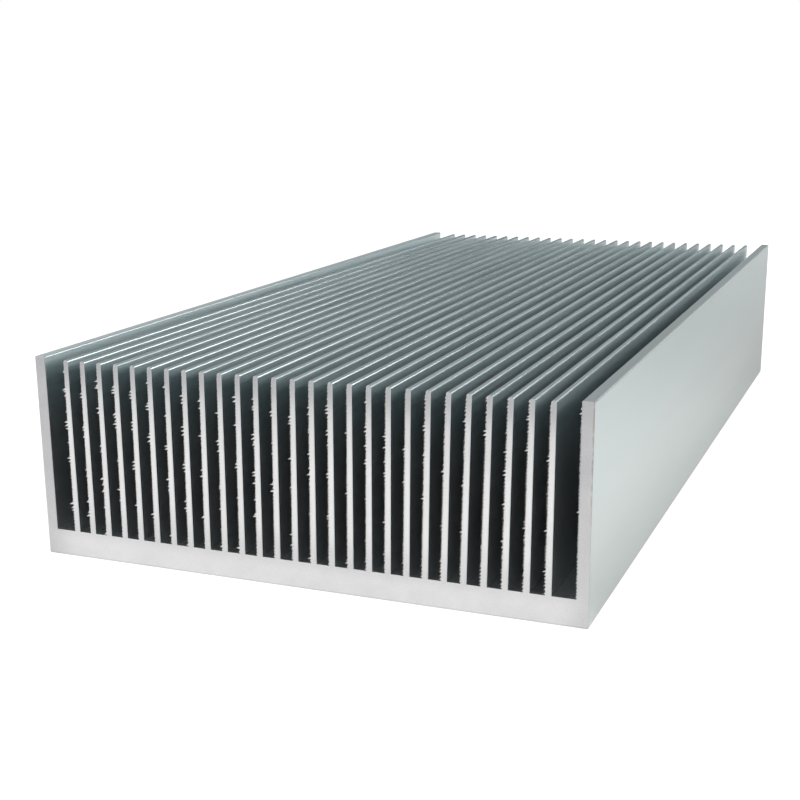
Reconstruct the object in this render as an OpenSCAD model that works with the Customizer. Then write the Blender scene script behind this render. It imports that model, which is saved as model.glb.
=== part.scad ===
// Extruded heat sink: one aluminium profile, sawn to length. A base plate carries
// two plain end walls and, between them, a row of tall thin fins that taper
// towards their rounded tips.
// The origin is the centre of the underside: X runs across the fins, Y along the
// extrusion and Z up from the base plate. All sizes are in millimetres.

/* [Body] */
// Width across the two end walls
body_w = 150; // [130:1:220]
// Length of the piece, from one sawn end to the other
body_l = 300; // [40:5:600]
// Height from the underside to the top of the end walls
body_h = 54.5; // [30:0.5:90]
// Thickness of the base plate
base_t = 7; // [4:0.5:12]
// Thickness of each end wall
wall_t = 3; // [2:0.1:5]
// Radius of the long edges: under the base plate and on top of the end walls
edge_r = 0.3; // [0.1:0.1:0.8]

/* [Fins] */
// Number of fins between the end walls
fin_count = 27; // [8:1:31]
// Thickness of a fin where it meets the base plate
fin_root_t = 1.6; // [1.3:0.1:2]
// Thickness of a fin at its tip, before its edges are rounded
fin_tip_t = 1.3; // [1:0.1:1.6]
// How far the fin tips lie below the top of the end walls
fin_drop = 0.5; // [0:0.1:3]
// Gap between an end wall and the tip of the fin beside it
side_gap = 5.8; // [4:0.1:8]
// Radius of the two long edges of each fin tip
tip_r = 0.4; // [0.1:0.05:0.45]
// Radius in the corners of the channel floors
root_r = 0.2; // [0.1:0.05:0.5]

/* [Fin lean] */
// Drift of the fins' feet to the left of their evenly spaced tips, mid-row
drift_mid = 0.5; // [0:0.1:0.8]
// Further drift where the fins lean most
drift_peak = 1; // [0:0.1:1.2]
// Place of that peak along the row, from 0 at the first fin to 1 at the last
drift_place = 0.86; // [0.6:0.01:0.9]

/* [Hidden] */
// Straight steps that make up each rounded corner of the profile
arc_steps = 5;
// Share of the row over which the peak of the drift fades to each side
drift_fade = 0.135;
fin_top = body_h - fin_drop;
// Distance from the body's centre plane to the tips of the outermost fins
fin_span = body_w / 2 - wall_t - side_gap - fin_tip_t / 2;

// Points along a circle about centre, from one angle to another
function arc(centre, r, from, to) = [
    for (i = [0 : arc_steps])
        let (a = from + (to - from) * i / arc_steps)
            centre + r * [cos(a), sin(a)]
];

// The right-hand side of a rib that stands on the base plate, from inside the
// plate up to its top edge. root_x and top_x are the distances of that side from
// the rib's own centre line at the channel floor and at the top.
function flank(root_x, top_x, top_z, top_r) =
    let (
        slope = atan((root_x - top_x) / (top_z - base_t)),
        // distance from a corner to the centre of its arc, for each mm of radius
        top_inset = tan(45 - slope / 2),
        foot_x = root_x + root_r * top_inset
    )
    concat(
        [[foot_x, base_t / 2]],
        arc([foot_x, base_t + root_r], root_r, 270, 180 + slope),
        arc([top_x - top_r * top_inset, top_z - top_r], top_r, slope, 90)
    );

// The same points on the left-hand side, in the order that carries the outline on
function mirrored(points) = [
    for (i = [len(points) - 1 : -1 : 0]) [-points[i].x, points[i].y]
];

// The fins stand at an even pitch at their tips. Their feet drift to the left of
// that, because the long thin tongues of the extrusion die give way at their free
// ends. t runs along the row, from 0 at the first fin to 1 at the last.
function foot_drift(t) =
    -drift_mid * sin(180 * t) - drift_peak * exp(-pow((t - drift_place) / drift_fade, 2));

module base_section() {
    right = concat(
        arc([body_w / 2 - edge_r, edge_r], edge_r, 270, 360),
        [[body_w / 2, base_t]]
    );
    polygon(concat(right, mirrored(right)));
}

module wall_sections() {
    left = concat(
        [[0, base_t / 2]],
        flank(wall_t, wall_t, body_h, edge_r),
        arc([edge_r, body_h - edge_r], edge_r, 90, 180)
    );
    translate([-body_w / 2, 0]) polygon(left);
    translate([body_w / 2, 0]) polygon(mirrored(left));
}

module fin_section(drift) {
    polygon(concat(
        flank(fin_root_t / 2 + drift, fin_tip_t / 2, fin_top, tip_r),
        mirrored(flank(fin_root_t / 2 - drift, fin_tip_t / 2, fin_top, tip_r))
    ));
}

module profile() {
    base_section();
    wall_sections();
    for (i = [0 : fin_count - 1]) {
        t = i / (fin_count - 1);
        translate([(2 * t - 1) * fin_span, 0]) fin_section(foot_drift(t));
    }
}

module heat_sink() {
    color("gainsboro")
        rotate([90, 0, 0])
            linear_extrude(height = body_l, center = true) profile();
}

heat_sink();
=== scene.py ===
from math import pi, radians

import bpy
from mathutils import Euler, Matrix, Vector


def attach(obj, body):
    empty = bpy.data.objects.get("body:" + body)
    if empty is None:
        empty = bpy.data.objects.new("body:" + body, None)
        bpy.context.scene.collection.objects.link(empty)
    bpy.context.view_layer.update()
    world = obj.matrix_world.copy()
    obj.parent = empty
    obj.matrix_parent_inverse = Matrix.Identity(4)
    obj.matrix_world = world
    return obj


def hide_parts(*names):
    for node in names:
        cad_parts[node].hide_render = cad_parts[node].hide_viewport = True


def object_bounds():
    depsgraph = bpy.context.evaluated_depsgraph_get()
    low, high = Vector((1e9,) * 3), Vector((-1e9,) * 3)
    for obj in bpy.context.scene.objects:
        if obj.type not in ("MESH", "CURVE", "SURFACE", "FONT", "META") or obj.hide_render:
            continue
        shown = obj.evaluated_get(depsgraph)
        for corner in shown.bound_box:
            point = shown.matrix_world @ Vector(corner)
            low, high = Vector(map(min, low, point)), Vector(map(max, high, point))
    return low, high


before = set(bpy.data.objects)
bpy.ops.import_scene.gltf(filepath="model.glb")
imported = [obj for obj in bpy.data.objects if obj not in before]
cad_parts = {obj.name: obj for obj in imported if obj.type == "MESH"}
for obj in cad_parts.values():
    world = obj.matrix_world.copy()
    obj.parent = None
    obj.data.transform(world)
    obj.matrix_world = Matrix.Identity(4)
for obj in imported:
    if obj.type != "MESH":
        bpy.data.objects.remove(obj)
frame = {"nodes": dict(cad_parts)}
cadBox = [list(corner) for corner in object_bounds()]
print("frame loaded:", ", ".join(frame["nodes"]))


# One output of a node. A sum that is written with wires adds its own Math nodes.
class Wire:
    def __init__(self, bench, node, socket):
        self.bench, self.node, self.socket = bench, node, socket

    def get(self, name):
        return self.bench.wire(self.node, name)

    def sum(self, operation, *terms):
        return self.bench.add("ShaderNodeMath", {"operation": operation}, dict(enumerate(terms)))

    def maths(self, operation, *others):
        return self.sum(operation, self, *others)

    def __add__(self, other): return self.sum("ADD", self, other)
    def __radd__(self, other): return self.sum("ADD", other, self)
    def __sub__(self, other): return self.sum("SUBTRACT", self, other)
    def __rsub__(self, other): return self.sum("SUBTRACT", other, self)
    def __mul__(self, other): return self.sum("MULTIPLY", self, other)
    def __rmul__(self, other): return self.sum("MULTIPLY", other, self)
    def __truediv__(self, other): return self.sum("DIVIDE", self, other)
    def __rtruediv__(self, other): return self.sum("DIVIDE", other, self)
    def __pow__(self, other): return self.sum("POWER", self, other)
    def __mod__(self, other): return self.sum("FLOORED_MODULO", self, other)
    def __gt__(self, other): return self.sum("GREATER_THAN", self, other)
    def __lt__(self, other): return self.sum("LESS_THAN", self, other)
    def __neg__(self): return self.sum("MULTIPLY", self, -1.0)


# A node tree being wired up. Every node that isn't a sum comes from add().
class Bench:
    def __init__(self, tree):
        self.tree = tree

    def wire(self, node, name=None):
        live = [socket for socket in node.outputs if socket.enabled]
        found = live[0] if name is None else next(s for s in live if s.name == name)
        return Wire(self, node, found)

    def feed(self, socket, value):
        if isinstance(value, Wire):
            self.tree.links.new(value.socket, socket)
        elif isinstance(value, (tuple, list)) and isinstance(value[0], Wire):
            for wire in value:  # a joining socket takes several
                self.tree.links.new(wire.socket, socket)
        else:
            socket.default_value = value

    def add(self, kind, settings=None, values=None):
        node = self.tree.nodes.new(kind)
        for name, setting in (settings or {}).items():
            if name == "items":
                while len(node.index_switch_items) < setting:
                    node.index_switch_items.new()
            else:
                setattr(node, name, setting)
        for key, value in (values or {}).items():
            if isinstance(key, int):
                self.feed(node.inputs[key], value)
            else:
                self.feed(next(s for s in node.inputs if s.enabled and s.name == key), value)
        return self.wire(node) if node.outputs else node

    def vector(self, x, y, z):
        return self.add("ShaderNodeCombineXYZ", None, {0: x, 1: y, 2: z})

    def ease(self, value, low, high):  # 0 at low, 1 at high
        return self.add("ShaderNodeMapRange", {"interpolation_type": "SMOOTHSTEP"},
                        {"Value": value, "From Min": low, "From Max": high})

    def split(self, vector):
        parts = self.add("ShaderNodeSeparateXYZ", None, {0: vector})
        return parts, parts.get("Y"), parts.get("Z")

    def sizes(self, table):  # the tree's named inputs
        for name, value in table.items():
            kind = "NodeSocketInt" if isinstance(value, int) else "NodeSocketFloat"
            self.tree.interface.new_socket(name, in_out="INPUT", socket_type=kind).default_value = value
        self.tree.interface.new_socket("finish", in_out="INPUT", socket_type="NodeSocketMaterial")
        self.tree.interface.new_socket("piece", in_out="OUTPUT", socket_type="NodeSocketGeometry")
        node = self.tree.nodes.new("NodeGroupInput")
        return {name: self.wire(node, name) for name in [*table, "finish"]}

    def close(self, geometry, finish):
        loose = self.add("GeometryNodeRealizeInstances", None, {"Geometry": geometry})
        done = self.add("GeometryNodeSetMaterial", None, {"Geometry": loose, "Material": finish})
        self.add("NodeGroupOutput", None, {0: done})


def geometryBench(name):
    return Bench(bpy.data.node_groups.new(name, "GeometryNodeTree"))


# Runs a tree on a blank object and keeps what it makes as a plain mesh
def growPiece(name, bench, table, finish, evenNormals=False):
    piece = bpy.data.objects.new(name, bpy.data.meshes.new(name + "Blank"))
    bpy.context.scene.collection.objects.link(piece)
    build = piece.modifiers.new("build", "NODES")
    build.node_group = bench.tree
    for socket in bench.tree.interface.items_tree:
        if socket.in_out == "INPUT":
            build[socket.identifier] = finish if socket.name == "finish" else table[socket.name]
    if evenNormals:
        even = piece.modifiers.new("evenNormals", "WEIGHTED_NORMAL")
        even.keep_sharp = True
    depsgraph = bpy.context.evaluated_depsgraph_get()
    mesh = bpy.data.meshes.new_from_object(piece.evaluated_get(depsgraph), depsgraph=depsgraph)
    mesh.materials.clear()  # instances leave an empty slot ahead of the finish
    mesh.materials.append(finish)
    piece.modifiers.clear()
    piece.data = mesh
    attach(piece, "root")
    mesh.calc_loop_triangles()
    print(f"{name}: {len(mesh.vertices)} points, {len(mesh.loop_triangles)} triangles")
    return piece


# ---- camera
camera = {
    "place": (0.14418, -0.43767, 0.12546),
    "turn": 21.97,  # degrees to the left of straight ahead
    "dip": 15.17,
    "roll": -0.44,
    "lens": 60.93,
    "shiftUp": 0.05,
    "sensor": 36,
    "nearest": 0.01,
}
eye = bpy.data.objects.new("camera", bpy.data.cameras.new("camera"))
bpy.context.scene.collection.objects.link(eye)
aim = Euler((radians(90 - camera["dip"]), 0, radians(camera["turn"]))).to_matrix().to_4x4()
roll = Matrix.Rotation(radians(camera["roll"]), 4, "Z")
eye.matrix_world = Matrix.Translation(camera["place"]) @ aim @ roll
eye.data.lens, eye.data.sensor_width = camera["lens"], camera["sensor"]
eye.data.shift_y = camera["shiftUp"]
eye.data.clip_start = camera["nearest"]
bpy.context.scene.camera = eye
print("camera set")


# ---- the finned body, one profile swept along Y
body = {
    "width": cadBox[1][0] - cadBox[0][0],
    "length": cadBox[1][1] - cadBox[0][1],
    "height": cadBox[1][2],
    "baseThickness": 0.007,
    "wallThickness": 0.003,
    "edgeRadius": 0.0003,
    "finCount": 27,
    "finRootThickness": 0.0016,
    "finTipThickness": 0.0013,
    "finDrop": 0.0005,
    "sideGap": 0.0058,
    "tipRadius": 0.0005,
    "rootRadius": 0.0002,
    "driftMid": 0.0005,  # how far the fins' feet lie left of their tips
    "driftPeak": 0.001,
    "driftPlace": 0.86,
    "driftFade": 0.135,
    "endChamfer": 0.00012,
    "filletSteps": 5,
    "sawnFacing": 0.3,  # faces that look further along Y than this are sawn
    "foldAngle": radians(32),  # sharper edges than this stay sharp
}


# Half the way from the first fin's tip to the last one's
def finSpan(size):
    return size["width"] / 2 - size["wallThickness"] - size["sideGap"] - size["finTipThickness"] / 2


# Where fin number n stands: the middle of its tip, and how far left its foot drifts
def finLine(size, number):
    t = number / (size["finCount"] - 1)
    bow = (t * pi).maths("SINE")
    off = (t - size["driftPlace"]) / size["driftFade"]
    peak = (-(off * off)).maths("EXPONENT")
    return (t * 2 - 1) * finSpan(size), -(size["driftMid"] * bow + size["driftPeak"] * peak)


# ---- aluminium: drawn through the die along Y, sawn at both ends
aluminium = {
    # colours
    "dieTint": (0.53, 0.62, 0.635, 1),
    "dieLight": (0.69, 0.782, 0.80, 1),
    "wallTint": (0.745, 0.80, 0.78, 1),
    "wallLight": (0.85, 0.905, 0.88, 1),
    # painted light: the outer walls lighter and bluer towards their tops
    "wallUpperPaintedLight": (0.78, 0.875, 0.895, 1),
    "deepPaintedShade": (0.60, 0.625, 0.635, 1),  # painted shade: greyer and a little darker down between the fins
    "tipTint": (0.28, 0.33, 0.335, 1),
    "tipLight": (0.49, 0.56, 0.57, 1),
    "crestLight": (0.56, 0.62, 0.63, 1),
    "topLight": (0.74, 0.81, 0.82, 1),  # on the walls' flat tops
    "sawnTint": (0.45, 0.45, 0.465, 1),
    "sawnLight": (0.895, 0.891, 0.889, 1),
    # worn scuffs on the sawn faces, and also painted contact shade along the foot
    "scuffAndContactShade": (0.40, 0.35, 0.31, 1),
    # painted highlights along the rims of the fins' sawn faces
    "burrSidePaintedHighlight": (0.86, 0.83, 0.80, 1),
    "farSidePaintedHighlight": (0.82, 0.87, 0.87, 1),

    # roughness, and what adds to it
    "dieRoughness": 0.40,
    "topRoughness": 0.42,  # of the fins' upper flanks
    "wallRoughness": 0.36,
    "tipRoughness": 0.29,  # of the rounding at the fins' tips
    "tipSpread": 0.07,  # how much that differs from fin to fin
    "crestRoughness": 0.58,
    "sawnRoughness": 0.55,
    "lineRougher": 0.2,
    "wallLineRougher": 0.06,
    "topRougher": 0.14,
    "edgeRougher": 0.25,
    "markRougher": 0.05,

    # relief
    "lineRelief": 0.000004,
    "wallEvener": 0.6,
    "markRelief": 0.000003,
    "cloudRelief": 0.00002,
    "bumpStrength": 0.5,

    # noises: stretch, scale, detail, roughness
    "dieLines": ((1, 0.006, 1), 1500, 4, 0.65),
    "bands": ((1, 0.12, 1), 60, 2, 0.5),
    "cloud": ((1, 1, 1), 110, 4, 0.6),
    "wander": ((1, 1, 1), 400, 2, 0.5),
    "grain": ((1, 1, 1), 2300, 2, 0.5),

    # how much of a colour is blended in
    "dieShare": 0.42,
    "dieLineShare": 1.1,
    "dieBandShare": 0.6,
    # painted light: the die faces lighter towards the left
    "leftPaintedLightShare": 0.3,
    "deepPaintedShadeShare": 0.9,
    "wallShare": 0.5,
    "wallLineShare": 0.3,
    "wallBandShare": 1.1,
    "wallUpperShare": 0.5,
    "crestShare": 0.9,
    "topShare": 0.8,
    "scuffShare": 0.7,
    "rimShare": 0.75,
    "footShadeShare": 0.22,

    # brightness of the sawn faces, and what adds to it or takes from it: painted light and shade by height, tooth
    # marks and random tone
    "wallSheen": 0.53,
    "wallRisePaintedShade": 0.2,
    "wallTopPaintedShade": 0.17,
    "platePaintedLight": 0.37,
    "finSheen": 0.95,
    "finUpperPaintedShade": 0.35,
    "finTopPaintedShade": 0.45,
    "finFootPaintedShade": 0.25,
    "markSheen": 0.06,
    "markWander": 1.5,
    "markFade": 0.2,
    "cloudSheen": 0.4,
    "grainSheen": 0.3,

    # where a look starts and where it is full: to the left, up, and out from the middle
    "leftPaintedLight": (-0.05, 0.07),
    "deep": (0.028, 0.053),
    "wallUpper": (0.012, 0.046),
    "plateUpper": (0.004, 0.010),
    "plateEnds": (0.066, 0.076),
    "wallRise": (0.0, 0.05),
    "wallTop": (0.046, 0.0545),
    "finUpper": (0.030, 0.050),
    "finTop": (0.044, 0.053),
    "finFoot": (0.007, 0.018),
    "scuffAcross": (0.0745, 0.0748),
    "scuffUp": (0.018, 0.044),
    "scuffPatches": (0.38, 0.58),  # of the noise
    "footReach": (0.0002, 0.0006),

    # the same, as distances below the fins' tips or the walls' tops
    "flankReach": (0.006, 0.002),
    "tipReach": (0.0006, 0.0003),
    "crestReach": (0.00026, 0.0001),
    "topReach": (0.00012, 0.00006),
    "lipReach": (0.00038, 0.00026),

    "skin": 0.0001,  # how near the part's box a face counts as outside
    "wallClear": 0.001,  # the looks of the fins' tips end this far inside the walls
    "outerHalf": 0.0015,  # of a wall's top
    "rimWidth": 0.00026,
    "nearestFin": 0.62,  # what rounding to the nearest fin adds, feet drifting left
}
blade = {
    "bladeRadius": 0.30,
    "bladeHeight": -0.235,  # of the blade's centre, which runs under the bench
    "bladeFeed": 0.0011,  # between two tooth marks, measured across the fins
}


# The same for all points that one tooth of the blade passed, along its arc down to the right
def bladeReach(x, z, radius, height):
    rise = z - height
    return x - (radius * radius - rise * rise) ** 0.5


def makeAluminium(name, looks):
    material = bpy.data.materials.new(name)
    material.use_nodes = True
    bench = Bench(material.node_tree)
    surface = bench.tree.nodes["Principled BSDF"]
    place = bench.add("ShaderNodeTexCoord").get("Object")
    x, _, z = bench.split(place)
    sawn = bench.add("ShaderNodeAttribute", {"attribute_name": "sawnEnd"}).get("Fac")

    def noise(kind):
        stretch, scale, detail, rough = looks[kind]
        spot = bench.add("ShaderNodeMapping", None, {"Vector": place, "Scale": stretch})
        return bench.add("ShaderNodeTexNoise", None,
                         {"Vector": spot, "Scale": scale, "Detail": detail, "Roughness": rough})

    def blend(factor, first, second):
        return bench.add("ShaderNodeMix", {"data_type": "RGBA"},
                         {"Factor": factor, "A": first, "B": second})

    def zone(value, reach):
        return bench.ease(value, *looks[reach])

    def below(top, reach):
        start, full = looks[reach]
        return bench.ease(z, top - start, top - full)

    # the number of the nearest fin, and a chance of its own for each
    side, top = body["width"] / 2, body["height"]
    wallIn, finTop = side - body["wallThickness"], top - body["finDrop"]
    number = ((x / finSpan(body) + 1) * ((body["finCount"] - 1) / 2) + looks["nearestFin"]).maths("FLOOR")
    luck = bench.add("ShaderNodeTexWhiteNoise", {"noise_dimensions": "1D"}, {"W": number + 0.5})

    # fine lines that the die left along the length, under soft bands, with painted light towards the left and
    # painted shade, greyer and a little darker, down between the fins
    dieLines = noise("dieLines")
    lines, bands = dieLines - 0.5, noise("bands") - 0.5
    lit = looks["dieShare"] + lines * looks["dieLineShare"] + bands * looks["dieBandShare"]
    die = blend(lit + zone(-x, "leftPaintedLight") * looks["leftPaintedLightShare"], looks["dieTint"], looks["dieLight"])
    die = blend((1 - zone(z, "deep")) * looks["deepPaintedShadeShare"], die, looks["deepPaintedShade"])

    # the part's outer faces, with painted light, lighter and bluer, towards the walls' tops
    fromMiddle = x.maths("ABSOLUTE")
    outside = (fromMiddle > side - looks["skin"]).maths("MAXIMUM", z < looks["skin"])
    outside = outside.maths("MAXIMUM", z > top - looks["skin"])
    lit = looks["wallShare"] + lines * looks["wallLineShare"] + bands * looks["wallBandShare"]
    wall = blend(lit, looks["wallTint"], looks["wallLight"])
    wall = blend(zone(z, "wallUpper") * looks["wallUpperShare"], wall, looks["wallUpperPaintedLight"])
    die = blend(outside, die, wall)

    # the fins' tips with their crests, and the walls' tops with their lips
    onFins = fromMiddle < wallIn - looks["wallClear"]
    onTip = below(finTop, "tipReach") * onFins
    onCrest = below(finTop, "crestReach") * onFins
    onTop = below(top, "topReach")
    onLip = below(top, "lipReach") * (1 - onTop)
    onEdge = onLip * (fromMiddle > side - looks["outerHalf"])
    innerLip = onLip - onEdge
    tip = blend(luck, looks["tipTint"], looks["tipLight"])
    die = blend(onCrest * looks["crestShare"], blend(onTip, die, tip), looks["crestLight"])
    die = blend(innerLip, blend(onEdge, die, looks["tipTint"]), looks["crestLight"])
    die = blend(onTop * looks["topShare"], die, looks["topLight"])

    # the sawn face: tooth marks along the blade's arcs, a cloudy tone, and painted light and shade by height
    cloud, wander, grain = noise("cloud"), noise("wander"), noise("grain")
    turns = bladeReach(x, z, blade["bladeRadius"], blade["bladeHeight"]) / blade["bladeFeed"]
    turns = turns + wander * looks["markWander"]
    marks = (turns * (2 * pi)).maths("SINE") * (cloud - looks["markFade"])
    inFins = (z > body["baseThickness"]) * (fromMiddle < wallIn)
    plate = (1 - zone(z, "plateUpper")) * (1 - zone(fromMiddle, "plateEnds"))
    # painted shade towards the tops and at the fins' feet, painted light low on the plate
    onWall = looks["wallSheen"] - zone(z, "wallRise") * looks["wallRisePaintedShade"] \
        - zone(z, "wallTop") * looks["wallTopPaintedShade"] + plate * looks["platePaintedLight"]
    onFin = looks["finSheen"] - zone(z, "finUpper") * looks["finUpperPaintedShade"] \
        - zone(z, "finTop") * looks["finTopPaintedShade"] - (1 - zone(z, "finFoot")) * looks["finFootPaintedShade"]
    sawnToneAndPaintedLight = onWall + (onFin - onWall) * inFins
    sawnToneAndPaintedLight = sawnToneAndPaintedLight + marks * looks["markSheen"] + (cloud - 0.5) * looks["cloudSheen"] \
        + (grain - 0.5) * looks["grainSheen"]
    ends = blend(sawnToneAndPaintedLight, looks["sawnTint"], looks["sawnLight"])
    scuffed = zone(x, "scuffAcross") * zone(z, "scuffUp") * zone(wander, "scuffPatches")
    ends = blend(scuffed * looks["scuffShare"], ends, looks["scuffAndContactShade"])

    # the rims of each fin's sawn face: painted highlights where the edges catch the light, warmer on the left where
    # the burr stands, bluer on the right
    tipX, drift = finLine(body, number)
    high = (z - body["baseThickness"]) / (finTop - body["baseThickness"])
    half = (body["finRootThickness"] + high * (body["finTipThickness"] - body["finRootThickness"])) / 2
    across = x - (tipX + (1 - high) * drift)
    leftRim = bench.ease(-across, half - looks["rimWidth"], half) * inFins
    rightRim = bench.ease(across, half - looks["rimWidth"], half) * inFins
    ends = blend(leftRim * looks["rimShare"], ends, looks["burrSidePaintedHighlight"])
    ends = blend(rightRim * looks["rimShare"], ends, looks["farSidePaintedHighlight"])

    # colour, with painted contact shade: darker along the foot
    colour = blend(sawn, die, ends)
    colour = blend((1 - zone(z, "footReach")) * looks["footShadeShare"], colour, looks["scuffAndContactShade"])

    # roughness and relief
    toTop = looks["topRoughness"] - looks["dieRoughness"]
    toTip = looks["tipRoughness"] - looks["topRoughness"]
    flank = looks["dieRoughness"] + toTop * below(finTop, "flankReach")
    flank = flank + (toTip - (luck - 0.5) * looks["tipSpread"]) * onTip
    flank = flank + (looks["crestRoughness"] - looks["tipRoughness"]) * onCrest + lines * looks["lineRougher"]
    flank = flank + (looks["tipRoughness"] - flank) * innerLip
    smooth = looks["wallRoughness"] + lines * looks["wallLineRougher"]
    drawn = flank * (1 - outside) + smooth * outside
    drawn = drawn + onTop * looks["topRougher"] + onEdge * looks["edgeRougher"]
    roughness = drawn * (1 - sawn) + (looks["sawnRoughness"] + marks * looks["markRougher"]) * sawn
    relief = dieLines * looks["lineRelief"] * (1 - sawn) * (1 - outside * looks["wallEvener"])
    relief = relief + (marks * looks["markRelief"] + cloud * looks["cloudRelief"]) * sawn
    bump = bench.add("ShaderNodeBump", None,
                     {"Strength": looks["bumpStrength"], "Distance": 1.0, "Height": relief})
    bench.feed(surface.inputs["Base Color"], colour)
    bench.feed(surface.inputs["Roughness"], roughness)
    bench.feed(surface.inputs["Normal"], bump)
    surface.inputs["Metallic"].default_value = 1.0
    return material


millAluminium = makeAluminium("millAluminium", aluminium)
print("aluminium mixed")


def bodyTree(table):
    bench = geometryBench("finnedProfile")
    size = bench.sizes(table)
    count = size["finCount"]
    half, wallIn = size["width"] / 2, size["width"] / 2 - size["wallThickness"]
    floorZ, topZ = size["baseThickness"], size["height"]
    index = bench.add("GeometryNodeInputIndex")

    # the outline runs round the base plate and both walls, and along the fins from right to left
    corners = [(-half, 0.0), (half, 0.0), (half, topZ), (wallIn, topZ), (wallIn, floorZ),
               (-wallIn, floorZ), (-wallIn, topZ), (-half, topZ)]
    isFin = (index > 4.5) * (index < count * 4 + 4.5)
    shellStep = index - (index > 4.5) * (count * 4)
    shell = bench.add("GeometryNodeIndexSwitch", {"data_type": "VECTOR", "items": len(corners)},
                      {0: shellStep, **{n + 1: bench.vector(*c, 0.0) for n, c in enumerate(corners)}})
    step = index - 5
    corner = step % 4
    number = count - 1 - (step / 4).maths("FLOOR")
    side = (corner < 1.5) * 2 - 1
    high = (corner > 0.5) * (corner < 2.5)
    tipX, drift = finLine(size, number)
    low = 1 - high
    thickness = high * size["finTipThickness"] + low * size["finRootThickness"]
    finX = tipX + low * drift + side * thickness / 2
    finZ = high * (topZ - size["finDrop"]) + low * floorZ
    spot = bench.add("GeometryNodeSwitch", {"input_type": "VECTOR"},
                     {"Switch": isFin, "False": shell, "True": bench.vector(finX, finZ, 0.0)})
    shellFoot = (shellStep > 3.5) * (shellStep < 5.5)
    rounding = isFin * (high * size["tipRadius"] + low * size["rootRadius"]) \
        + (1 - isFin) * (shellFoot * size["rootRadius"] + (1 - shellFoot) * size["edgeRadius"])
    dots = bench.add("GeometryNodePoints", None, {"Count": count * 4 + 8, "Position": spot})
    dots = bench.add("GeometryNodeStoreNamedAttribute", {"data_type": "FLOAT", "domain": "POINT"},
                     {"Geometry": dots, "Name": "rounding", "Value": rounding})
    outline = bench.add("GeometryNodePointsToCurves", None, {"Points": dots, "Weight": index})
    outline = bench.add("GeometryNodeSetSplineCyclic", None, {"Geometry": outline, "Cyclic": True})
    reach = bench.add("GeometryNodeInputNamedAttribute", {"data_type": "FLOAT"}, {"Name": "rounding"})
    outline = bench.add("GeometryNodeFilletCurve", {"mode": "POLY"},
                        {"Curve": outline, "Radius": reach, "Count": size["filletSteps"]})
    tangentX, tangentY, _ = bench.split(bench.add("GeometryNodeInputTangent"))
    outline = bench.add("GeometryNodeStoreNamedAttribute", {"data_type": "FLOAT_VECTOR", "domain": "POINT"},
                        {"Geometry": outline, "Name": "outward",
                         "Value": bench.vector(tangentY, 0.0, -tangentX)})

    # four rings along the length, the outer two drawn in by the chamfer
    late = index > 1.5
    inner = (index > 0.5) * (index < 2.5)
    along = (late * 2 - 1) * (size["length"] / 2 - inner * size["endChamfer"])
    rail = bench.add("GeometryNodePoints", None, {"Count": 4, "Position": bench.vector(0.0, 0.0, along)})
    rail = bench.add("GeometryNodeStoreNamedAttribute", {"data_type": "FLOAT", "domain": "POINT"},
                     {"Geometry": rail, "Name": "drawIn", "Value": (1 - inner) * size["endChamfer"]})
    rail = bench.add("GeometryNodePointsToCurves", None, {"Points": rail, "Weight": index})
    swept = bench.add("GeometryNodeCurveToMesh", None,
                      {"Curve": rail, "Profile Curve": outline, "Fill Caps": True})
    swept = bench.add("GeometryNodeTransform", None, {"Geometry": swept, "Rotation": (radians(90), 0, 0)})
    outward = bench.add("GeometryNodeInputNamedAttribute", {"data_type": "FLOAT_VECTOR"}, {"Name": "outward"})
    drawIn = bench.add("GeometryNodeInputNamedAttribute", {"data_type": "FLOAT"}, {"Name": "drawIn"})
    shrink = bench.add("ShaderNodeVectorMath", {"operation": "SCALE"}, {0: outward, "Scale": -drawIn})
    swept = bench.add("GeometryNodeSetPosition", None, {"Geometry": swept, "Offset": shrink})

    # which faces the saw made
    _, normalY, _ = bench.split(bench.add("GeometryNodeInputNormal"))
    facing = normalY.maths("ABSOLUTE")
    swept = bench.add("GeometryNodeStoreNamedAttribute", {"data_type": "FLOAT", "domain": "FACE"},
                      {"Geometry": swept, "Name": "sawnEnd", "Value": facing > size["sawnFacing"]})
    swept = bench.add("GeometryNodeSetShadeSmooth", None, {"Geometry": swept})
    fold = bench.add("GeometryNodeInputMeshEdgeAngle")
    swept = bench.add("GeometryNodeSetShadeSmooth", {"domain": "EDGE"},
                      {"Geometry": swept, "Selection": fold > size["foldAngle"], "Shade Smooth": False})
    bench.close(swept, size["finish"])
    return bench


finnedBody = growPiece("finnedBody", bodyTree(body), body, millAluminium, evenNormals=True)
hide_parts("heat_sink")


# ---- burrs that the saw pushed out along the left edges of the fins, one flake of metal for each tooth that passed
burrs = {
    "burrSteps": 52,  # flakes up each edge
    "burrPitch": 0.0009,
    "burrRoot": 0.0001,  # how far a flake starts inside the edge
    "burrThickness": 0.00009,
    "burrJitter": 0.17,  # of a pitch, up or down
    "toothLength": 0.0004,
    "toothRise": 0.00044,
    "toothCoarse": 0.45,  # the first fin's share of that length
    "toothCoarser": 0.65,  # what the last one adds
    "toothOnWall": 0.38,  # what the right wall takes off
    "toothTopFiner": 0.8,
    "barbLength": 0.00112,
    "barbRise": 0.00050,
    "clusterPitch": 0.0195,  # of the barb clusters across the fins
    "clusterShare": 0.36,
    "clusterJitter": 0.14,
    "barbChance": 0.78,
    "barbFewer": 0.8,  # less chance towards the right
    "barbShorter": 0.35,  # and less length
    "barbLow": 0.3,  # some barbs even at the foot
    "barbTop": 0.93,  # none above this share of a fin
    "strayChance": 0.02,
    "strayLength": 0.0004,
    "backShare": 0.7,  # burrs at the back end are this much shorter
}


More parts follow.
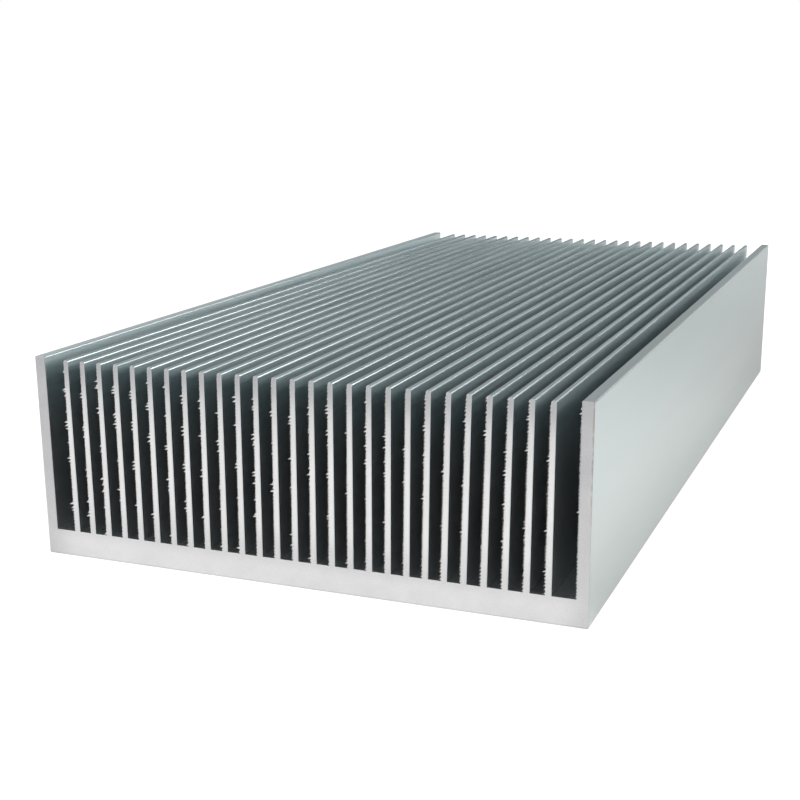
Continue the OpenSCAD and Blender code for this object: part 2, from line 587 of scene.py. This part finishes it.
# A thin flat flake, its outline in X and Z swept along Y
def flake(bench, corners):
    index = bench.add("GeometryNodeInputIndex")
    spots = {n + 1: bench.vector(x, z, 0.0) for n, (x, z) in enumerate(corners)}
    spot = bench.add("GeometryNodeIndexSwitch", {"data_type": "VECTOR", "items": len(corners)},
                     {0: index, **spots})
    edge = bench.add("GeometryNodePoints", None, {"Count": len(corners), "Position": spot})
    edge = bench.add("GeometryNodePointsToCurves", None, {"Points": edge, "Weight": index})
    edge = bench.add("GeometryNodeSetSplineCyclic", None, {"Geometry": edge, "Cyclic": True})
    rail = bench.add("GeometryNodeCurvePrimitiveLine", None, {"Start": (0, 0, -0.5), "End": (0, 0, 0.5)})
    swept = bench.add("GeometryNodeCurveToMesh", None,
                      {"Curve": rail, "Profile Curve": edge, "Fill Caps": True})
    return bench.add("GeometryNodeTransform", None, {"Geometry": swept, "Rotation": (radians(90), 0, 0)})


def burrTree(table):
    bench = geometryBench("sawBurrs")
    size = bench.sizes(table)
    steps, count = size["burrSteps"], size["finCount"]
    floorZ, finTop = size["baseThickness"], size["height"] - size["finDrop"]
    index = bench.add("GeometryNodeInputIndex")

    def chance(seed, low=0.0, high=1.0, key=None):
        return bench.add("FunctionNodeRandomValue", {"data_type": "FLOAT"},
                         {"Min": low, "Max": high, "ID": key or index, "Seed": seed})

    # front end first, then the back; at each end all fins and then the right wall
    end = (index / ((count + 1) * steps)).maths("FLOOR")
    rest = index - end * (count + 1) * steps
    line = (rest / steps).maths("FLOOR")
    up = rest - line * steps
    onWall = line > count - 0.5
    t = line / count
    jitter, clusterJitter = size["burrJitter"], size["clusterJitter"]
    z = floorZ + size["rootRadius"] + (up + 0.5 + chance(11, -jitter, jitter)) * size["burrPitch"]
    tipX, drift = finLine(size, line)
    high = (z - floorZ) / (finTop - floorZ)
    half = (size["finRootThickness"] * (1 - high) + size["finTipThickness"] * high) / 2
    finX = tipX + (1 - high) * drift - half
    x = finX * (1 - onWall) + (size["width"] / 2 - size["wallThickness"]) * onWall + size["burrRoot"]
    y = (end * 2 - 1) * (size["length"] / 2 - size["burrThickness"] / 2)
    fits = z < finTop - size["tipRadius"]

    # the barbs stand in clusters along the blade's arcs, fewer and shorter to the right
    phase = (bladeReach(x, z, size["bladeRadius"], size["bladeHeight"]) / size["clusterPitch"]
             + chance(12, -clusterJitter, clusterJitter, line)).maths("FRACT")
    likely = size["barbChance"] * (1 - t * size["barbFewer"]) * (size["barbLow"] + high)
    isBarb = (phase < size["clusterShare"]) * (chance(13) < likely) * (1 - onWall) * (high < size["barbTop"])
    stray = (chance(20) < size["strayChance"]) * (1 - isBarb)
    short = 1 - end * (1 - size["backShare"])
    coarse = size["toothCoarse"] + t * size["toothCoarser"] - onWall * size["toothOnWall"]
    coarse = coarse * (1 - high ** 3.0 * (1 - t) * size["toothTopFiner"])
    tooth = size["toothLength"] * chance(14, 0.65, 1.2) * coarse
    barb = size["barbLength"] * chance(17, 0.45, 1.05) * (1 - t * size["barbShorter"])
    length = (tooth + isBarb * (barb - tooth) + stray * size["strayLength"]) * short + size["burrRoot"]
    rise = size["toothRise"] * chance(15, 0.8, 1.2) + isBarb * (size["barbRise"] - size["toothRise"])
    dots = bench.add("GeometryNodePoints", None,
                     {"Count": (count + 1) * steps * 2, "Position": bench.vector(x, y, z)})
    lean = bench.vector(0.0, chance(18, -0.12, 0.25) * isBarb, (end * 2 - 1) * chance(19, 0.0, 0.16))
    flakes = bench.add("GeometryNodeInstanceOnPoints", None,
                       {"Points": dots, "Selection": fits, "Instance": flake(bench, burrEdge),
                        "Rotation": bench.add("FunctionNodeEulerToRotation", None, {0: lean}),
                        "Scale": bench.vector(length, size["burrThickness"], rise)})
    flakes = bench.add("GeometryNodeRealizeInstances", None, {"Geometry": flakes})
    flakes = bench.add("GeometryNodeStoreNamedAttribute", {"data_type": "FLOAT", "domain": "FACE"},
                       {"Geometry": flakes, "Name": "sawnEnd", "Value": 1.0})
    bench.close(flakes, size["finish"])
    return bench


# a flake's outline, from its root at the edge to its tip down on the left
burrEdge = [(0, 0.85), (-0.3, 0.34), (-0.66, -0.14), (-1, -0.72), (-0.62, -0.52), (-0.3, -0.44), (0, -0.48)]
burrSizes = {**body, **blade, **burrs}
growPiece("sawBurrs", burrTree(burrSizes), burrSizes, millAluminium)


# ---- floor, world and lamps
studio = {
    "floorReach": 9,
    "floorColour": (0.40, 0.40, 0.40, 1),
    "floorGlow": 0.85,  # what camera rays see on top of the lit floor
    "mirrorShare": 0.60,  # the share of that glow that the metal sees in front
    "mirrorFade": (-0.1, 0.3),  # over which that share runs out, front to back
    "besideShade": 0.5,  # less of it close beside the walls
    "besideReach": (0.074, 0.115),
    "besideStart": (-0.165, -0.125),
    "worldLevel": 0.64,
    "worldFront": 0.72,  # brighter towards the front, dimmer behind
    "worldLeft": 0.50,
    "worldUp": 0.10,
    "lampAim": (0, 0, 0.03),
}
floorMesh = bpy.data.meshes.new("floor")
far = studio["floorReach"]
floorMesh.from_pydata([(-far, -far, 0), (far, -far, 0), (far, far, 0), (-far, far, 0)], [], [(0, 1, 2, 3)])
floor = bpy.data.objects.new("floor", floorMesh)
bpy.context.scene.collection.objects.link(floor)
floorFinish = bpy.data.materials.new("floorFinish")
floorFinish.use_nodes = True
bench = Bench(floorFinish.node_tree)
bench.tree.nodes.clear()
ray = bench.add("ShaderNodeLightPath")
aside, back, _ = bench.split(bench.add("ShaderNodeTexCoord").get("Object"))
# the glow that the metal sees is a painted pool of light in front, with painted shade close beside the walls
beside = 1 - bench.ease(aside.maths("ABSOLUTE"), *studio["besideReach"])
beside = beside * bench.ease(back, *studio["besideStart"])
share = (1 - bench.ease(back, *studio["mirrorFade"])) * (1 - beside * studio["besideShade"])
share = share * studio["mirrorShare"]
seen = ray.get("Is Camera Ray") + (ray.get("Is Glossy Ray") + ray.get("Is Transmission Ray")) * share
paint = bench.add("ShaderNodeBsdfDiffuse", None, {"Color": studio["floorColour"]})
glow = bench.add("ShaderNodeEmission", None, {"Strength": seen * studio["floorGlow"]})
both = bench.add("ShaderNodeAddShader", None, {0: paint, 1: glow})
bench.add("ShaderNodeOutputMaterial", None, {"Surface": both})
floorMesh.materials.append(floorFinish)

world = bpy.data.worlds.new("studio")
bpy.context.scene.world = world
world.use_nodes = True
bench = Bench(world.node_tree)
ray = bench.add("ShaderNodeLightPath")
aside, ahead, above = bench.split(bench.add("ShaderNodeTexCoord"))
level = studio["worldLevel"] - ahead * studio["worldFront"] - aside * studio["worldLeft"]
level = (level + above * studio["worldUp"]).maths("MAXIMUM", 0.0)
seen = ray.get("Is Camera Ray") + ray.get("Is Transmission Ray")
background = bench.tree.nodes["Background"]
bench.feed(background.inputs["Color"], (1, 1, 1, 1))
bench.feed(background.inputs["Strength"], seen + (1 - seen) * level)

lamps = {
    "lowBox": {"place": (1.50, 1.88, 0.48), "size": (1.0, 0.6), "power": 13.6},
    "highBox": {"place": (1.3, 0.8, 0.85), "size": (0.5, 0.5), "power": 11.0},
}
for name, lamp in lamps.items():
    light = bpy.data.lights.new(name, "AREA")
    light.shape, light.size, light.size_y = "RECTANGLE", *lamp["size"]
    light.energy = lamp["power"]
    box = bpy.data.objects.new(name, light)
    bpy.context.scene.collection.objects.link(box)
    box.visible_camera = False
    box.location = lamp["place"]
    toward = Vector(studio["lampAim"]) - Vector(lamp["place"])
    box.rotation_euler = toward.to_track_quat("-Z", "Y").to_euler()
print("studio set")

bpy.context.scene.view_settings.view_transform = "Standard"
